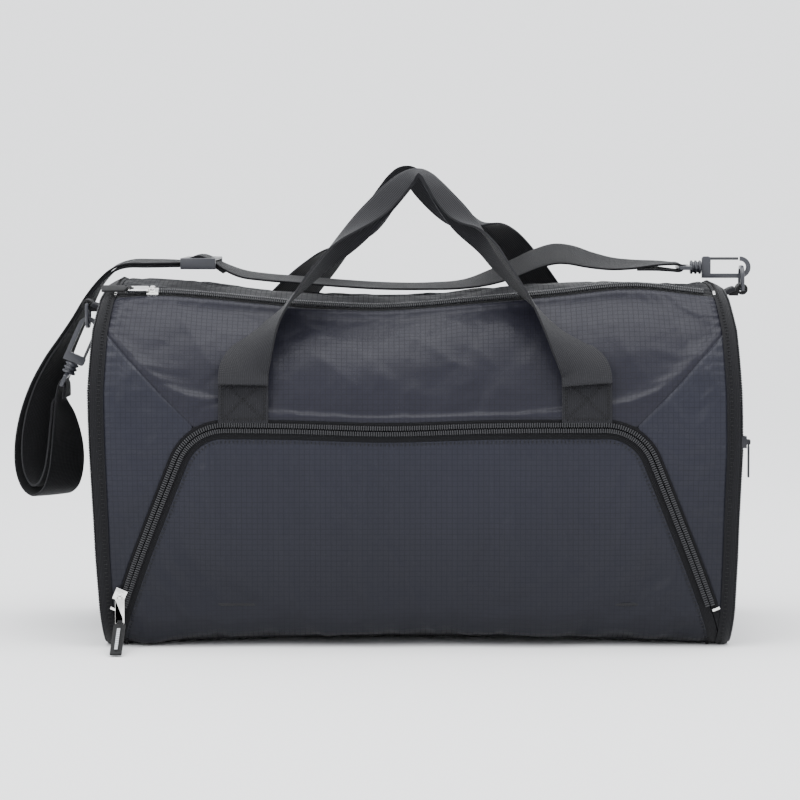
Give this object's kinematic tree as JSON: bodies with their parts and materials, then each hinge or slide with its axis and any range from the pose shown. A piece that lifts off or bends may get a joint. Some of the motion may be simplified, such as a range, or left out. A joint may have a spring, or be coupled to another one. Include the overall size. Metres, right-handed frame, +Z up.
{
  "type": "duffel bag",
  "caption": "Soft travel duffel bag with an arched body, main zip along the top, trapezoid front zip pocket, two webbing handles and a clip-on adjustable shoulder strap.",
  "frame": {"origin": "middle of the flat base, on the ground plane", "axes": "+X towards the right end of the bag, +Y towards its back, +Z up"},
  "size_m": [0.5822, 0.3048, 0.3724],
  "materials": {
    "ripstop": "satin",
    "webbing": "ribbed",
    "zip_tape": "twill",
    "zip_coil": "satin",
    "bright_metal": "polished",
    "dark_metal": "satin",
    "black_plastic": "satin"
  },
  "bodies": {
    "bag": {"back_panel": "ripstop", "base_panel": "ripstop", "front_left_anchor": "webbing", "front_left_gore": "ripstop", "front_right_anchor": "webbing", "front_right_gore": "ripstop", "front_upper_panel": "ripstop", "left_end_panel": "ripstop", "left_end_zip_coil": "zip_coil", "left_end_zip_inner_tape": "zip_tape", "left_end_zip_outer_tape": "zip_tape", "left_ring_tab": "webbing", "left_swivel": "black_plastic", "main_zip_coil": "zip_coil", "main_zip_front_tape": "zip_tape", "main_zip_left_stop": "bright_metal", "main_zip_rear_tape": "zip_tape", "main_zip_right_stop": "bright_metal", "pocket_lining": "ripstop", "pocket_panel": "ripstop", "pocket_zip_coil": "zip_coil", "pocket_zip_inner_tape": "zip_tape", "pocket_zip_left_stop": "bright_metal", "pocket_zip_outer_tape": "zip_tape", "pocket_zip_right_stop": "bright_metal", "rear_left_anchor": "webbing", "rear_right_anchor": "webbing", "right_end_panel": "ripstop", "right_end_zip_coil": "zip_coil", "right_end_zip_inner_tape": "zip_tape", "right_end_zip_outer_tape": "zip_tape", "right_ring_tab": "webbing", "right_swivel": "black_plastic", "strap_return": "webbing", "strap_webbing": "webbing", "top_panel": "ripstop"},
    "main_slider": {"main_zip_slider": "bright_metal"},
    "main_pull": {"main_zip_pull": "bright_metal"},
    "main_tab": {"main_zip_tab": "webbing"},
    "pocket_slider": {"pocket_zip_slider": "bright_metal"},
    "pocket_pull": {"pocket_zip_pull": "bright_metal"},
    "pocket_tab": {"pocket_zip_tab": "webbing"},
    "right_end_slider": {"right_end_zip_slider": "dark_metal"},
    "right_end_pull": {"right_end_zip_pull": "dark_metal"},
    "left_end_slider": {"left_end_zip_slider": "dark_metal"},
    "left_end_pull": {"left_end_zip_pull": "dark_metal"},
    "front_handle": {"front_handle": "webbing"},
    "rear_handle": {"rear_handle": "webbing"},
    "right_ring": {"right_d_ring": "black_plastic"},
    "left_ring": {"left_d_ring": "black_plastic"},
    "right_hook": {"right_hook": "black_plastic"},
    "right_gate": {"right_hook_gate": "black_plastic"},
    "left_hook": {"left_hook": "black_plastic"},
    "left_gate": {"left_hook_gate": "black_plastic"},
    "buckle": {"strap_buckle": "black_plastic"}
  },
  "joints": [
    {"name": "main_zip_slide", "type": "slide", "parent": "bag", "child": "main_slider", "axis": [1, 0, 0], "range_m": [-0.018, 0.42]},
    {"name": "main_pull_lift", "type": "hinge", "parent": "main_slider", "child": "main_pull", "pos_m": [-0.2025, -0.06514, 0.27123], "axis": [0, 0.9063, 0.4226], "range_deg": [0, 120]},
    {"name": "main_tab_swing", "type": "hinge", "parent": "main_pull", "child": "main_tab", "pos_m": [-0.22075, -0.06514, 0.27123], "axis": [0, 0.9063, 0.4226], "range_deg": [-5, 60]},
    {"name": "pocket_zip_slide", "type": "slide", "parent": "bag", "child": "pocket_slider", "axis": [0.387, 0, 0.9221], "range_m": [-0.004, 0.104]},
    {"name": "pocket_pull_lift", "type": "hinge", "parent": "pocket_slider", "child": "pocket_pull", "pos_m": [-0.22429, -0.1309, 0.041], "axis": [-1, 0, 0], "range_deg": [0, 100]},
    {"name": "pocket_tab_swing", "type": "hinge", "parent": "pocket_pull", "child": "pocket_tab", "pos_m": [-0.22429, -0.1309, 0.01975], "axis": [-1, 0, 0], "range_deg": [0, 35]},
    {"name": "right_end_zip_slide", "type": "slide", "parent": "bag", "child": "right_end_slider", "axis": [0, 0, 1], "range_m": [-0.115, 0.006]},
    {"name": "right_end_pull_lift", "type": "hinge", "parent": "right_end_slider", "child": "right_end_pull", "pos_m": [0.2534, -0.1198, 0.157], "axis": [0, -1, 0], "range_deg": [0, 150]},
    {"name": "left_end_zip_slide", "type": "slide", "parent": "bag", "child": "left_end_slider", "axis": [0, 0, 1], "range_m": [-0.018, 0.1]},
    {"name": "left_end_pull_lift", "type": "hinge", "parent": "left_end_slider", "child": "left_end_pull", "pos_m": [-0.2534, 0.1198, 0.06], "axis": [0, 1, 0], "range_deg": [0, 150]},
    {"name": "front_handle_fold", "type": "hinge", "parent": "bag", "child": "front_handle", "pos_m": [0, -0.1229, 0.208], "axis": [1, 0, 0], "range_deg": [0, 190]},
    {"name": "rear_handle_fold", "type": "hinge", "parent": "bag", "child": "rear_handle", "pos_m": [0, 0.1229, 0.208], "axis": [-1, 0, 0], "range_deg": [0, 190]},
    {"name": "right_ring_tilt", "type": "hinge", "parent": "bag", "child": "right_ring", "pos_m": [0.2575, 0, 0.2685], "axis": [0, 1, 0], "range_deg": [-3, 3]},
    {"name": "left_ring_tilt", "type": "hinge", "parent": "bag", "child": "left_ring", "pos_m": [-0.2575, 0, 0.256], "axis": [0, 1, 0], "range_deg": [-3, 3]},
    {"name": "right_hook_swivel", "type": "hinge", "parent": "bag", "child": "right_hook", "pos_m": [0.2562, 0, 0.2855], "axis": [-1, 0, 0], "range_deg": [-6, 6]},
    {"name": "right_gate_open", "type": "hinge", "parent": "right_hook", "child": "right_gate", "pos_m": [0.2302, 0, 0.2923], "axis": [0, 1, 0], "range_deg": [0, 9], "stiffness_Nm_per_rad": 0.02},
    {"name": "left_hook_swivel", "type": "hinge", "parent": "bag", "child": "left_hook", "pos_m": [-0.2575, 0, 0.2377], "axis": [-0.4067, 0, -0.9135], "range_deg": [-6, 6]},
    {"name": "left_gate_open", "type": "hinge", "parent": "left_hook", "child": "left_gate", "pos_m": [-0.26186, 0, 0.21118], "axis": [0, -1, 0], "range_deg": [0, 9], "stiffness_Nm_per_rad": 0.02},
    {"name": "buckle_slide", "type": "slide", "parent": "bag", "child": "buckle", "axis": [0.9968, -0.0803, 0], "range_m": [-0.04, 0.03]}
  ]
}
